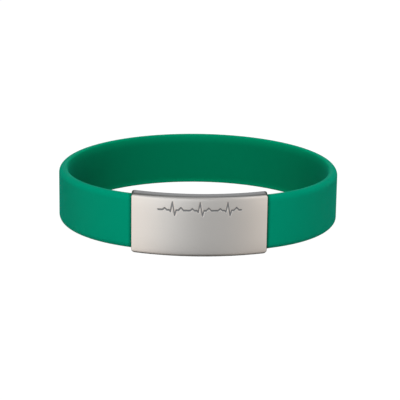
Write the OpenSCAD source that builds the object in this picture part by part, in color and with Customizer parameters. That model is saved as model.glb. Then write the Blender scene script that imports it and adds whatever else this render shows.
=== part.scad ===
// Medical alert bracelet: a closed silicone band that runs through a curved steel sleeve.
// The loop lies level, its axis is Z, and the sleeve is at the front, towards -Y.
// The origin is under the middle of the loop, on the surface that the sleeve's lower fold rests on.

/* [Loop] */
// Outside width of the band's loop from side to side, twice the radius of its long back stretch
loop_w = 66.5; // [58:0.1:84]
// Outside radius of the flatter front stretch, which runs through the sleeve
front_r = 40; // [32:0.1:56]
// Half of the angle that the front stretch turns through, in degrees
front_half_angle = 28; // [24:0.5:34]
// Half of the angle that the long back stretch turns through, in degrees
back_half_angle = 98; // [90:0.5:115]

/* [Band] */
// Height of the band, across its face
band_h = 12.7; // [8:0.1:20]
// Thickness of the band
band_t = 2; // [1.4:0.05:3]
// Rounding of the band's two outside edges
outside_edge_r = 1.35; // [0.5:0.05:1.6]
// Rounding of the band's two inside edges
inside_edge_r = 0.5; // [0.2:0.05:0.8]

/* [Sleeve] */
// Straight width of the sleeve, from one open end to the other
sleeve_w = 30.7; // [22:0.1:40]
// Thickness of the steel sheet that the sleeve is folded from
sheet_t = 0.6; // [0.4:0.05:1]
// Gap between the band and the sleeve, all round
fit_gap = 0.1; // [0.05:0.01:0.3]
// Inside radius of the long folds along the top and the bottom
fold_inside_r = 0.2; // [0.1:0.05:0.6]
// Rounding of the sleeve's corners, seen from the front
corner_r = 0.9; // [0.2:0.05:1.5]

/* [Engraved pulse line] */
// Width that the pulse line takes up on the sleeve
pulse_w = 18.6; // [12:0.1:22]
// Height of a beat, from its lowest to its highest point
pulse_h = 3; // [1.5:0.1:5]
// Number of beats side by side
beats = 3; // [1:1:4]
// Width of the engraved stroke
stroke_w = 0.32; // [0.2:0.02:0.5]
// Depth of the engraved stroke
stroke_d = 0.1; // [0.05:0.01:0.2]
// Distance from the sleeve's top down to the highest bend of the pulse line
pulse_drop = 1.4; // [1:0.1:6]

/* [Hidden] */
$fa = 2;
$fs = 0.15;
// Slack that a cutting shape runs past what it cuts
over = 1;
// Coarse step that arcs are placed by first
step_size = 0.01;

// The band's roundings never meet in the middle of its wall
outside_edge = min(outside_edge_r, 0.7 * band_t);
inside_edge = min(inside_edge_r, 0.28 * band_t);

// The sleeve's section, as depths below and heights above the band's outside face and lower edge
slot_t = band_t + 2 * fit_gap;
slot_h = band_h + 2 * fit_gap;
sleeve_t = slot_t + 2 * sheet_t;
sleeve_h = slot_h + 2 * sheet_t;
sleeve_proud = fit_gap + sheet_t;
fold_r = fold_inside_r + sheet_t;

// Each stretch of the loop is an arc that runs smoothly into the next, on both sides alike
back_r = loop_w / 2;
arc_share = sin(front_half_angle) / sin(back_half_angle);
side_r = (back_r - front_r * arc_share) / (1 - arc_share);
side_turn = 180 - back_half_angle - front_half_angle;
front_to_side = (front_r - side_r) * cos(front_half_angle);
side_to_back = -(back_r - side_r) * cos(back_half_angle);

// The front arc's centre is placed so that the whole bracelet is centred over the origin
front_y = (front_r + sleeve_proud + front_to_side - side_to_back - back_r) / 2;
side_x = (front_r - side_r) * sin(front_half_angle);
side_y = front_y - front_to_side;
back_y = side_y + side_to_back;

// One heartbeat: how far along the beat each bend lies, and how high, as shares of pulse_w / beats
// and of pulse_h. The named columns are ALONG and UP.
ALONG = 0;
UP = 1;
beat = [
    [0.00, 0.00],
    [0.16, 0.00],
    [0.24, 0.14],
    [0.32, 0.00],
    [0.40, 0.00],
    [0.45, -0.12],
    [0.52, 0.60],
    [0.60, -0.40],
    [0.66, 0.00],
    [0.74, 0.00],
    [0.83, 0.20],
    [0.92, 0.00],
    [1.00, 0.00]
];
beat_w = pulse_w / beats;
// Height of the line between the beats
pulse_z = sleeve_h - pulse_drop - pulse_h * max([for (point = beat) point[UP]]);

// Moves by a rounded step and then by what is left, so that where two stretches meet their ends
// stay flush to the last digit even in a file that keeps few digits of each number
module place(x, y) {
    step = [round(x / step_size) * step_size, round(y / step_size) * step_size];
    translate(step) translate([x, y] - step) children();
}

// One arc of the loop about its centre. Its flat section is drawn with X = 0 on the outside face.
module stretch(centre_x, centre_y, radius, first_angle, turn) {
    place(centre_x, centre_y)
        rotate_extrude(angle = turn, start = first_angle) place(radius, 0) children();
}

module front_stretch() {
    stretch(0, front_y, front_r, 270 - front_half_angle, 2 * front_half_angle) children();
}

module side_stretch() {
    stretch(side_x, side_y, side_r, 270 + front_half_angle, side_turn) children();
}

module back_stretch() {
    stretch(0, back_y, back_r, 90 - back_half_angle, 2 * back_half_angle) children();
}

// Carries a section all the way round the loop
module loop() {
    front_stretch() children();
    side_stretch() children();
    mirror([1, 0, 0]) side_stretch() children();
    back_stretch() children();
}

// What rounding a square corner at the origin takes away from it
module corner_waste(r) {
    difference() {
        square(r);
        translate([r, r]) circle(r);
    }
}

// Rectangle from X = -wide to 0 and Y = 0 to high, with its corners rounded outside and inside
module rounded_section(wide, high, outside_r, inside_r) {
    difference() {
        translate([-wide, 0]) square([wide, high]);
        mirror([1, 0]) corner_waste(outside_r);
        translate([0, high]) rotate(180) corner_waste(outside_r);
        translate([-wide, 0]) corner_waste(inside_r);
        translate([-wide, high]) mirror([0, 1]) corner_waste(inside_r);
    }
}

module band_section() {
    translate([0, sleeve_proud]) rounded_section(band_t, band_h, outside_edge, inside_edge);
}

module sleeve_section() {
    translate([sleeve_proud, 0]) rounded_section(sleeve_t, sleeve_h, fold_r, fold_r);
}

module slot_section() {
    translate([fit_gap, sheet_t]) rounded_section(slot_t, slot_h, fold_inside_r, fold_inside_r);
}

// Rectangle centred on X with rounded corners, standing on Y = 0
module rounded_rectangle(wide, high, r) {
    translate([-wide / 2, r]) square([wide, high - 2 * r]);
    translate([r - wide / 2, 0]) square([wide - 2 * r, high]);
    for (x = [-1, 1], y = [r, high - r]) translate([x * (wide / 2 - r), y]) circle(r);
}

// What the sleeve's straight ends and its corners leave of the folded strip, seen from the front
module front_outline() {
    rotate([90, 0, 0])
        linear_extrude(height = loop_w) rounded_rectangle(sleeve_w, sleeve_h, corner_r);
}

// One straight stroke with round ends
module stroke(from, to) {
    run = to - from;
    translate(from) circle(stroke_w / 2);
    translate(to) circle(stroke_w / 2);
    translate(from) rotate(atan2(run[UP], run[ALONG]))
        translate([0, -stroke_w / 2]) square([norm(run), stroke_w]);
}

module pulse_line() {
    function bend(i, k) = [(beat[k][ALONG] + i) * beat_w - pulse_w / 2, pulse_z + beat[k][UP] * pulse_h];
    for (i = [0 : beats - 1], k = [1 : len(beat) - 1]) stroke(bend(i, k - 1), bend(i, k));
}

// The thin layer of the sleeve's face that the engraving takes away
module engraving() {
    intersection() {
        rotate([90, 0, 0]) linear_extrude(height = loop_w) pulse_line();
        front_stretch() translate([sleeve_proud - stroke_d, 0]) square([stroke_d + over, sleeve_h]);
    }
}

module band() {
    color("#008a69") loop() band_section();
}

module id_sleeve() {
    color("#c9c6bf") difference() {
        intersection() {
            loop() sleeve_section();
            front_outline();
        }
        loop() slot_section();
        engraving();
    }
}

band();
id_sleeve();
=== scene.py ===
"""A silicone medical alert bracelet whose band runs through a curved satin steel sleeve.

The band and the sleeve are swept meshes that stand for the plain CAD solids. Everything is in metres, in the
CAD's own frame: the loop lies level, its axis is Z, and the sleeve is at the front, towards -Y.
"""
import math

import bpy
import numpy as np
from mathutils import Matrix, Vector


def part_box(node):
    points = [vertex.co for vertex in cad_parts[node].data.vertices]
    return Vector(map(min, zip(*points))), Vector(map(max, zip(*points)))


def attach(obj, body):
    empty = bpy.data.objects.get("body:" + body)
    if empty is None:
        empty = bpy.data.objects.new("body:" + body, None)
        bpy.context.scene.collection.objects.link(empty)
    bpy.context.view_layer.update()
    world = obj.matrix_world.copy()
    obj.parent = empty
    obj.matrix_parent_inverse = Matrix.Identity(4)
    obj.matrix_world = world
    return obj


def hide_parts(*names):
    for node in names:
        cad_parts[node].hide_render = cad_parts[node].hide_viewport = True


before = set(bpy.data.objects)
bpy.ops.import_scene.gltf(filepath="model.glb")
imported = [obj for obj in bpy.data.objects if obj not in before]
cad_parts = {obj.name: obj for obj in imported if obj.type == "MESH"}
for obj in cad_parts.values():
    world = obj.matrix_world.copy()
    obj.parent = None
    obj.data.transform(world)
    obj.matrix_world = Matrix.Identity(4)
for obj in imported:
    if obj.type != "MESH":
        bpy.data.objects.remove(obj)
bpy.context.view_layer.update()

MM = 0.001

# Sizes that the CAD's boxes don't give, the same as in the CAD
FRONT_R = 40 * MM
FRONT_HALF_ANGLE = math.radians(28)
BACK_HALF_ANGLE = math.radians(98)
BAND_T = 2 * MM
OUTSIDE_EDGE_R = 1.35 * MM
INSIDE_EDGE_R = 0.5 * MM
SHEET_T = 0.6 * MM
FIT_GAP = 0.1 * MM
FOLD_R = 0.8 * MM
CORNER_R = 0.9 * MM
PULSE_W = 18.6 * MM
PULSE_H = 3 * MM
PULSE_DROP = 1.4 * MM
STROKE_W = 0.32 * MM
STROKE_D = 0.1 * MM
BEATS = 3
# One heartbeat: how far along it each bend lies, and how high, as shares of its width and height
BEAT = np.array([
    (0.00, 0.00), (0.16, 0.00), (0.24, 0.14), (0.32, 0.00), (0.40, 0.00), (0.45, -0.12), (0.52, 0.60),
    (0.60, -0.40), (0.66, 0.00), (0.74, 0.00), (0.83, 0.20), (0.92, 0.00), (1.00, 0.00),
])

# Fine relief that the CAD leaves out: how far the face falls back at its folds, how the edges of the sleeve's
# mouths are rounded outside and inside, and how far the engraved line's sides slope either way
CROWN = 0.18 * MM
MOUTH_OUTSIDE_R = 0.16 * MM
MOUTH_INSIDE_R = 0.12 * MM
FLANK = 0.05 * MM

# Longest steps of the meshes: in general, up the band's flat faces, near the sleeve's mouths, and along and
# up the part of the face that holds the pulse line
STEP = 0.7 * MM
BAND_UP_STEP = 0.6 * MM
MOUTH_STEP = 0.25 * MM
PULSE_ALONG_STEP = 0.065 * MM
PULSE_UP_STEP = 0.06 * MM
# How far the finer steps reach, in from the mouths and past the pulse line
MOUTH_ZONE = 1 * MM
PULSE_MARGIN = 0.3 * MM
# Steps that each kind of rounding has, and the steps of the sleeve's inner skin from end to end
OUTSIDE_EDGE_STEPS = 12
INSIDE_EDGE_STEPS = 8
FOLD_STEPS = 8
MOUTH_EDGE_STEPS = 6
INNER_SKIN_STEPS = 40

# Painted shade on the inside face: the depth at which it sets in and the depth at which it is full, as shares
# of the wall, how wide the painted lighter zones along its lower and upper edges are, and how far along the
# shade those edges are
INSIDE_FROM = 0.8
INSIDE_FULL = 0.95
LIT_EDGE_LOW = 1.5 * MM
LIT_EDGE_HIGH = 2.6 * MM
INSIDE_EDGE_SHADE = 0.3

WHITE = (1, 1, 1, 1)
BLACK = (0, 0, 0, 1)

# Sizes that follow from the frame
band_low, band_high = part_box("band")
sleeve_low, sleeve_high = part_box("id_sleeve")
BACK_R = (band_high.x - band_low.x) / 2
SLEEVE_W = sleeve_high.x - sleeve_low.x
SLEEVE_H = sleeve_high.z - sleeve_low.z
SLEEVE_PROUD = FIT_GAP + SHEET_T
SLEEVE_T = BAND_T + 2 * SLEEVE_PROUD


def loop_arcs():
    """Centre, outside radius, first angle and last angle of each arc, angles running from -Y towards +X."""
    share = math.sin(FRONT_HALF_ANGLE) / math.sin(BACK_HALF_ANGLE)
    side_r = (BACK_R - FRONT_R * share) / (1 - share)
    front = np.array([0, sleeve_low.y + FRONT_R + SLEEVE_PROUD])
    across = (FRONT_R - side_r) * math.sin(FRONT_HALF_ANGLE)
    side = front + [across, (side_r - FRONT_R) * math.cos(FRONT_HALF_ANGLE)]
    back = np.array([0, side[1] - (BACK_R - side_r) * math.cos(BACK_HALF_ANGLE)])
    bend, end = FRONT_HALF_ANGLE, math.pi - BACK_HALF_ANGLE
    return [
        (front, FRONT_R, -bend, bend),
        (side, side_r, bend, end),
        (back, BACK_R, end, 2 * math.pi - end),
        (side * [-1, 1], side_r, 2 * math.pi - end, 2 * math.pi - bend),
    ]


def corner(middle, radius, first, steps):
    """Points and outward normals of a quarter turn about middle, which starts at first quarter turns."""
    turn = (first + np.linspace(0, 1, steps + 1)) * math.pi / 2
    normal = np.stack([np.cos(turn), np.sin(turn)], 1)
    return np.array(middle) + radius * normal, normal


def evenly(first, last, most):
    """Values from first to last in even steps, none longer than most."""
    slack = 1e-6
    steps = max(1, math.ceil((last - first) / most - slack))
    return np.linspace(first, last, steps + 1)


def smoothstep(low, high, value):
    """0 below low, 1 above high, and a smooth rise between them."""
    t = np.clip((value - low) / (high - low), 0, 1)
    return t * t * (3 - 2 * t)


def add_object(name, data):
    added = bpy.data.objects.new(name, data)
    bpy.context.collection.objects.link(added)
    return added


def mesh_object(name, points, faces, material):
    """A smooth-shaded object with these points, whose faces count them from the first."""
    mesh = bpy.data.meshes.new(name)
    mesh.from_pydata(points.reshape(-1, 3).tolist(), [], faces.tolist())
    mesh.polygons.foreach_set("use_smooth", [True] * len(mesh.polygons))
    mesh.materials.append(material)
    mesh.validate()
    return add_object(name, mesh)


def mark(piece, name, values):
    """Gives each point of a piece a value that its material reads under this name."""
    layer = piece.data.attributes.new(name, "FLOAT", "POINT")
    layer.data.foreach_set("value", values.astype(np.float32))


def torus_faces(rings, along):
    """Quads of a grid of rings x along points that is closed both ways."""
    i, j = np.meshgrid(np.arange(rings), np.arange(along), indexing="ij")
    ring, step = (i + 1) % rings, (j + 1) % along
    corners = [i * along + j, ring * along + j, ring * along + step, i * along + step]
    return np.stack(corners, -1).reshape(-1, 4)


def band_section():
    """Outline of the band as depth (0 on the outside face, inwards negative) and height, counterclockwise."""
    low, high = band_low.z, band_high.z
    out_r, in_r = OUTSIDE_EDGE_R, INSIDE_EDGE_R
    corners = [
        corner((-out_r, low + out_r), out_r, 3, OUTSIDE_EDGE_STEPS),
        corner((-out_r, high - out_r), out_r, 0, OUTSIDE_EDGE_STEPS),
        corner((in_r - BAND_T, high - in_r), in_r, 1, INSIDE_EDGE_STEPS),
        corner((in_r - BAND_T, low + in_r), in_r, 2, INSIDE_EDGE_STEPS),
    ]
    outline = []
    for k, (points, _) in enumerate(corners):
        outline.extend(points)
        start, end = points[-1], corners[(k + 1) % 4][0][0]
        steps = max(1, math.ceil(np.linalg.norm(end - start) / BAND_UP_STEP))
        outline.extend(start + (end - start) * s / steps for s in range(1, steps))
    return np.array(outline)


def inside_painted_shade(section):
    """How far along the inside face's painted shade each point of the band's section is, less near its edges.
    """
    depth, height = -section[:, 0], section[:, 1]
    on_face = smoothstep(INSIDE_FROM * BAND_T, INSIDE_FULL * BAND_T, depth)
    clear = smoothstep(0, LIT_EDGE_LOW, height - band_low.z) * smoothstep(0, LIT_EDGE_HIGH, band_high.z - height)
    return on_face * (INSIDE_EDGE_SHADE + (1 - INSIDE_EDGE_SHADE) * clear)


def make_band(material):
    """The band, its section carried round the loop."""
    section = band_section()
    rings = []
    for centre, radius, first, last in loop_arcs():
        steps = math.ceil((last - first) * radius / STEP)
        for angle in np.linspace(first, last, steps, endpoint=False):
            reach = radius + section[:, 0]
            x = centre[0] + reach * math.sin(angle)
            y = centre[1] - reach * math.cos(angle)
            rings.append(np.stack([x, y, section[:, 1]], 1))
    faces = torus_faces(len(rings), len(section))
    piece = mesh_object("silicone_band", np.array(rings), faces, material)
    # Each point's share of the painted shade on the inside face
    mark(piece, "inside", np.tile(inside_painted_shade(section), len(rings)))
    return piece


def pulse_points():
    """The bends of the whole pulse line as x and height."""
    rest = SLEEVE_H - PULSE_DROP - PULSE_H * BEAT[:, 1].max()
    beats = [np.stack([(BEAT[:, 0] + i) * PULSE_W / BEATS - PULSE_W / 2, rest + BEAT[:, 1] * PULSE_H], 1)
             for i in range(BEATS)]
    return np.concatenate([beats[0]] + [beat[1:] for beat in beats[1:]])


def distance_to_pulse(x, height):
    """How far each place on the face is from the middle of the pulse line's stroke."""
    points = pulse_points()
    place = np.stack([x, height], -1)
    best = np.full(x.shape, np.inf)
    for start, end in zip(points[:-1], points[1:]):
        run = end - start
        share = np.clip((place - start) @ run / (run @ run), 0, 1)
        best = np.minimum(best, np.linalg.norm(place - start - share[..., None] * run, axis=-1))
    return best


def sleeve_section():
    """Outline of the sleeve as depth and height, and its outward normals, from half way up the back wall."""
    face, back = SLEEVE_PROUD, SLEEVE_PROUD - SLEEVE_T
    r = FOLD_R
    pulse = pulse_points()[:, 1]
    zone = evenly(pulse.min() - PULSE_MARGIN, pulse.max() + PULSE_MARGIN, PULSE_UP_STEP)
    below, above = evenly(r, zone[0], STEP)[1:-1], evenly(zone[-1], SLEEVE_H - r, STEP)[1:-1]
    across = evenly(back + r, face - r, STEP)[1:-1]
    back_wall = evenly(r, SLEEVE_H - r, STEP)[1:-1]
    half = len(back_wall) // 2

    def flat(depth, height, normal):
        points = np.stack(np.broadcast_arrays(depth, height), 1).astype(float)
        return points, np.broadcast_to(np.array(normal, float), points.shape)

    parts = [
        flat(back, back_wall[:half][::-1], (-1, 0)),
        corner((back + r, r), r, 2, FOLD_STEPS),
        flat(across, 0, (0, -1)),
        corner((face - r, r), r, 3, FOLD_STEPS),
        flat(face, np.concatenate([below, zone, above]), (1, 0)),
        corner((face - r, SLEEVE_H - r), r, 0, FOLD_STEPS),
        flat(across[::-1], SLEEVE_H, (0, 1)),
        corner((back + r, SLEEVE_H - r), r, 1, FOLD_STEPS),
        flat(back, back_wall[half:][::-1], (-1, 0)),
    ]
    return np.concatenate([p for p, _ in parts]), np.concatenate([n for _, n in parts])


def mouth_profile():
    """Depth below the outer skin, and how far the sleeve's rounded end is drawn in there, going inwards."""
    turn = np.linspace(0, math.pi / 2, MOUTH_EDGE_STEPS + 1)
    sunk, drawn = 1 - np.cos(turn), 1 - np.sin(turn)
    depth = [MOUTH_OUTSIDE_R * sunk, [SHEET_T / 2], (SHEET_T - MOUTH_INSIDE_R * sunk)[::-1]]
    inset = [MOUTH_OUTSIDE_R * drawn, [0], (MOUTH_INSIDE_R * drawn)[::-1]]
    return np.concatenate(depth), np.concatenate(inset)


def wall_path():
    """A path round the sleeve's wall: the outer skin, the right end, the inner skin and the left end.

    Each point has its share of the half width, its depth below the outer skin and how far it is drawn in.
    """
    depth, inset = mouth_profile()
    skin_end = SLEEVE_W / 2 - inset[0]
    near_end = skin_end - MOUTH_ZONE
    zone = PULSE_W / 2 + PULSE_MARGIN
    stops = [-skin_end, -near_end, -zone, zone, near_end, skin_end]
    steps = [MOUTH_STEP, STEP, PULSE_ALONG_STEP, STEP, MOUTH_STEP]
    runs = [evenly(start, end, step)[:-1] for start, end, step in zip(stops[:-1], stops[1:], steps)]
    outer = np.concatenate(runs + [[skin_end]]) / skin_end
    inner = np.linspace(1, -1, INNER_SKIN_STEPS + 1)
    round_end = np.ones(len(depth) - 2)

    def carried(profile):
        outside, end, inside = profile[0], profile[1:-1], profile[-1]
        return np.concatenate([np.full(len(outer), outside), end, np.full(len(inner), inside), end[::-1]])

    return np.concatenate([outer, round_end, inner, -round_end]), carried(depth), carried(inset)


def half_width(height):
    """Half of the sleeve's width at each height, drawn in by its rounded corners."""
    near = np.minimum(height, SLEEVE_H - height).clip(0, CORNER_R)
    return SLEEVE_W / 2 - CORNER_R + np.sqrt(CORNER_R ** 2 - (CORNER_R - near) ** 2)


def make_sleeve(material):
    """The sleeve, its section carried along the path round its wall and bent to the loop's front arc."""
    outline, normal = sleeve_section()
    share, down, inset = wall_path()
    reach = outline[:, :1] - normal[:, :1] * down
    height = outline[:, 1:] - normal[:, 1:] * down
    x = share * (half_width(height) - inset)
    on_face = np.isclose(normal[:, :1], 1) & (down == 0)
    away = distance_to_pulse(x, height)
    groove = on_face * (1 - smoothstep(STROKE_W / 2 - FLANK, STROKE_W / 2 + FLANK, away))
    # The face falls back a little towards its folds
    fall = CROWN * normal[:, :1].clip(0) * (1 - down / SHEET_T) * (2 * height / SLEEVE_H - 1) ** 4
    centre, radius = loop_arcs()[0][:2]
    turn_r = radius + reach - fall - STROKE_D * groove
    y = centre[1] - np.sqrt(turn_r ** 2 - x ** 2)
    # Turned over, so that they face outwards
    faces = torus_faces(*x.shape)[:, ::-1]
    piece = mesh_object("steel_sleeve", np.stack([x, y, height], -1), faces, material)
    mark(piece, "engraved", groove.ravel())
    return piece


def set_inputs(tree, target, inputs):
    """Gives a node's inputs, known by name or number, a plain value each or another node's output."""
    for name, value in inputs.items():
        if isinstance(value, bpy.types.NodeSocket):
            tree.links.new(value, target.inputs[name])
        else:
            target.inputs[name].default_value = value


def node(tree, kind, inputs, **settings):
    """A shader node with these inputs and settings."""
    added = tree.nodes.new("ShaderNode" + kind)
    for name, value in settings.items():
        setattr(added, name, value)
    set_inputs(tree, added, inputs)
    return added


def noise(tree, place, scale, detail, roughness=0.5):
    inputs = {"Vector": place, "Scale": scale, "Detail": detail, "Roughness": roughness}
    return node(tree, "TexNoise", inputs).outputs["Fac"]


def scalar_math(tree, operation, *values):
    return node(tree, "Math", dict(enumerate(values)), operation=operation).outputs["Value"]


def vector_math(tree, operation, *values, result="Vector"):
    return node(tree, "VectorMath", dict(enumerate(values)), operation=operation).outputs[result]


def blend(tree, factor, first, second, kind="MIX"):
    """A blend of two colours, each a plain colour or another node's output."""
    # The numbers of a Mix node's sockets for colours
    first_input, second_input, result = 6, 7, 2
    inputs = {"Factor": factor, first_input: first, second_input: second}
    return node(tree, "Mix", inputs, data_type="RGBA", blend_type=kind).outputs[result]


def new_material(name):
    material = bpy.data.materials.new(name)
    material.use_nodes = True
    return material, material.node_tree, material.node_tree.nodes["Principled BSDF"]


def unshaded_by_sleeve(tree, place):
    """0 where the sleeve covers the band, and 1 from a little way out of its ends right round the back: where
    the band is free of the painted shade by the sleeve.
    """
    fade_inwards, fade_outwards = 0.1 * MM, 0.9 * MM
    split = node(tree, "SeparateXYZ", {"Vector": place})
    aside = scalar_math(tree, "ABSOLUTE", split.outputs["X"])
    fade = {"Value": aside, "From Min": SLEEVE_W / 2 - fade_inwards, "From Max": SLEEVE_W / 2 + fade_outwards}
    beyond = node(tree, "MapRange", fade, interpolation_type="SMOOTHSTEP").outputs["Result"]
    behind = scalar_math(tree, "GREATER_THAN", split.outputs["Y"], 0)
    return scalar_math(tree, "MAXIMUM", beyond, behind)


def silicone_material():
    """Matt green silicone, with a faintly uneven tone and a fine moulded grain, and painted shade on its
    inside face and where it goes under the sleeve's ends.
    """
    material, tree, shader = new_material("silicone")
    place = node(tree, "TexCoord", {}).outputs["Object"]
    clouds = noise(tree, place, scale=110, detail=3)
    grain = noise(tree, place, scale=6500, detail=2)
    gloss = node(tree, "MapRange", {"Value": clouds, "To Min": 0.46, "To Max": 0.58})
    bump = node(tree, "Bump", {"Height": grain, "Strength": 0.12, "Distance": 0.02 * MM})
    open_tone = blend(tree, clouds, (0.0, 0.29, 0.166, 1), (0.0, 0.31, 0.180, 1))
    # Painted shade: darker just where it goes in under the sleeve's ends, as if shaded by them
    painted_sleeve_shade = (0.0, 0.12, 0.066, 1)
    tone = blend(tree, unshaded_by_sleeve(tree, place), painted_sleeve_shade, open_tone)
    # Painted shade: the inside face is darkened to a yellower green, as if lit only by light bounced off the
    # green band, and less so towards its edges
    inside = node(tree, "Attribute", {}, attribute_name="inside")
    inside_shade_ramp = node(tree, "ValToRGB", {"Fac": inside.outputs["Fac"]})
    stops = inside_shade_ramp.color_ramp.elements
    stops[0].color = WHITE
    stops.new(INSIDE_EDGE_SHADE).color = (1, 1, 0.82, 1)
    stops[2].color = (1, 0.65, 0.54, 1)
    set_inputs(tree, shader, {
        "Base Color": blend(tree, 1, tone, inside_shade_ramp.outputs["Color"], "MULTIPLY"),
        "Roughness": gloss.outputs["Result"],
        "Normal": bump.outputs["Normal"],
        "Specular IOR Level": 0.04,
        "Specular Tint": (0.3, 1, 0.8, 1),
        "Sheen Weight": 0.12,
        "Sheen Roughness": 0.35,
        "Sheen Tint": (0.05, 1, 0.85, 1),
    })
    return material


def steel_material():
    """Satin stainless steel, brushed along the sleeve, with the engraved line etched dark."""
    material, tree, shader = new_material("satin_steel")
    place = node(tree, "TexCoord", {}).outputs["Object"]
    split = node(tree, "SeparateXYZ", {"Vector": place})
    # The brushing follows the sleeve's bend, so the distance from the front arc's axis takes the place of Y
    centre = loop_arcs()[0][0]
    level = vector_math(tree, "MULTIPLY", place, (1, 1, 0))
    reach = vector_math(tree, "DISTANCE", level, (*centre, 0), result="Value")
    unbent = node(tree, "CombineXYZ", {"X": split.outputs["X"], "Y": reach, "Z": split.outputs["Z"]})
    # Scratches are long along X and fine across it
    drawn_out = vector_math(tree, "MULTIPLY", unbent.outputs["Vector"], (60, 4000, 4000))
    scratches = noise(tree, drawn_out, scale=1, detail=3, roughness=0.65)
    smudges = noise(tree, place, scale=160, detail=2)
    engraved = node(tree, "Attribute", {}, attribute_name="engraved").outputs["Fac"]
    polish = node(tree, "MapRange", {"Value": scratches, "To Min": 0.28, "To Max": 0.40})
    dulled = node(tree, "Mix", {"Factor": engraved, "A": polish.outputs["Result"], "B": 0.5})
    bump = node(tree, "Bump", {"Height": scratches, "Strength": 0.15, "Distance": 0.005 * MM})
    bright = blend(tree, smudges, (0.49, 0.48, 0.465, 1), (0.51, 0.502, 0.487, 1))
    etched = (0.19, 0.20, 0.21, 1)
    set_inputs(tree, shader, {
        "Base Color": blend(tree, engraved, bright, etched),
        "Metallic": 1,
        "Roughness": dulled.outputs["Result"],
        "Normal": bump.outputs["Normal"],
    })
    return material


def floor_material():
    """A floor that is grey to light, some of which it throws back up, and that glows white to the camera."""
    material, tree, shader = new_material("pale_floor")
    seen = node(tree, "LightPath", {}).outputs["Is Camera Ray"]
    to_light, to_camera = (0.50, 0.50, 0.50, 1), (0.06, 0.06, 0.06, 1)
    set_inputs(tree, shader, {
        "Base Color": blend(tree, seen, to_light, to_camera),
        "Roughness": 0.9,
        "Specular IOR Level": 0,
        "Emission Color": WHITE,
        "Emission Strength": seen,
    })
    return material


def make_floor():
    """A floor a hair below the bracelet, which the steel doesn't mirror."""
    reach, height = 3.0, -0.02 * MM
    points = np.array([(x * reach, y * reach, height) for x, y in ((-1, -1), (1, -1), (1, 1), (-1, 1))])
    floor = mesh_object("floor", points, np.array([[0, 1, 2, 3]]), floor_material())
    floor.visible_glossy = False


def direction(azimuth, elevation):
    """Unit vector at these degrees, azimuth 0 towards -Y and 90 towards +X."""
    a, e = math.radians(azimuth), math.radians(elevation)
    return Vector((math.sin(a) * math.cos(e), -math.cos(a) * math.cos(e), math.sin(e)))


def look_at(place, target, roll=0.0):
    """Matrix that puts an object at place with its -Z towards target and its X level, then turned by roll."""
    turn = (target - place).to_track_quat("-Z", "Y").to_matrix().to_4x4()
    return Matrix.Translation(place) @ turn @ Matrix.Rotation(roll, 4, "Z")


def make_camera():
    """The photograph's view of the bracelet, with the middle of the band where it falls in the picture."""
    frame_px, focal_px = 400, 1739
    azimuth, elevation, roll = -0.837, 15.57, math.radians(0.795)
    distance = 420 * MM
    middle = Vector((0, SLEEVE_PROUD / 2, SLEEVE_H / 2))
    middle_px = Vector((197.90, 189.04))
    data = bpy.data.cameras.new("camera")
    data.sensor_fit = "HORIZONTAL"
    data.sensor_width = 36
    data.lens = data.sensor_width * focal_px / frame_px
    data.clip_start = 0.01
    data.clip_end = 20
    camera = add_object("camera", data)
    place = middle + direction(azimuth, elevation) * distance
    facing = look_at(place, middle, roll).to_3x3()
    off = (Vector((frame_px / 2, frame_px / 2)) - middle_px) * distance / focal_px
    target = middle + facing @ Vector((off.x, -off.y, 0))
    camera.matrix_world = look_at(place, target, roll)
    bpy.context.scene.camera = camera


def make_lights():
    """The band's light, which nothing mirrors: panels at two heights in front, low behind, and high up."""
    panels = [  # azimuth and elevation in degrees, power in watts
        (-20, 3, 0.70), (-5, 3, 0.25), (-120, 3, 1.20), (120, 3, 3.35),
        (-20, 25, 1.36), (-5, 25, 1.58), (0, 65, 2.40), (180, 65, 1.80),
    ]
    distance = 0.8
    middle = Vector((0, 0, SLEEVE_H / 2))
    for number, (azimuth, elevation, power) in enumerate(panels):
        name = f"panel_{number}"
        data = bpy.data.lights.new(name, "AREA")
        data.shape = "RECTANGLE"
        data.size = 0.4
        data.size_y = 0.25
        data.energy = power
        light = add_object(name, data)
        light.matrix_world = look_at(middle + distance * direction(azimuth, elevation), middle)
        light.visible_camera = False
        light.visible_glossy = False


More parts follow.
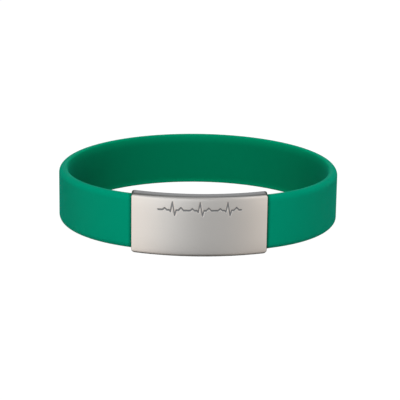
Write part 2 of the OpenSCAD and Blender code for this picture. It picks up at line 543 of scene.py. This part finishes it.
def make_world():
    """The steel's light: broad soft panels that reflections alone see. The camera sees white instead."""
    plain, cool = Vector((1, 1, 1)), Vector((0.98, 1, 1.04))
    warm, rosy = Vector((1.1, 1, 0.92)), Vector((1.25, 1, 0.88))
    panels = [  # azimuth, elevation and radius in degrees, strength, colour
        (-55, -46, 34, 0.66, warm), (60, -35, 42, 0.73, warm), (-60, -12, 42, 0.96, warm),
        (0, -12, 42, 0.62, plain), (-30, 12, 42, 1.28, plain), (30, 12, 42, 0.36, plain),
        (60, 12, 42, 1.21, warm), (0, 60, 42, 0.56, plain), (-80, -10, 25, 1.60, rosy),
        (180, 12, 20, 0.46, cool), (180, 50, 42, 0.42, cool), (40, 42, 30, 0.65, plain),
        (-20, -48, 32, 0.14, plain), (180, -38, 24, 0.90, plain), (-125, 28, 32, 0.35, plain),
        (125, 28, 32, 0.35, plain), (0, -90, 38, 0.14, plain),
    ]
    world = bpy.data.worlds.new("studio")
    world.use_nodes = True
    bpy.context.scene.world = world
    tree = world.node_tree
    tree.nodes.clear()
    place = node(tree, "TexCoord", {}).outputs["Generated"]
    total = (0, 0, 0)
    for azimuth, elevation, radius, strength, colour in panels:
        facing = vector_math(tree, "DOT_PRODUCT", place, direction(azimuth, elevation), result="Value")
        fade = {"Value": facing, "From Min": math.cos(math.radians(radius)), "From Max": 1}
        soft = node(tree, "MapRange", fade, interpolation_type="SMOOTHSTEP").outputs["Result"]
        total = vector_math(tree, "MULTIPLY_ADD", soft, strength * colour, total)
    seen = node(tree, "LightPath", {})
    reflected = blend(tree, seen.outputs["Is Glossy Ray"], BLACK, total)
    shown = blend(tree, seen.outputs["Is Camera Ray"], reflected, WHITE)
    background = node(tree, "Background", {"Color": shown})
    node(tree, "OutputWorld", {"Surface": background.outputs["Background"]})


make_camera()
make_floor()
make_lights()
make_world()
bpy.context.scene.view_settings.view_transform = "Standard"

band = make_band(silicone_material())
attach(band, "root")
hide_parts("band")

sleeve = make_sleeve(steel_material())
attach(sleeve, "root")
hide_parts("id_sleeve")
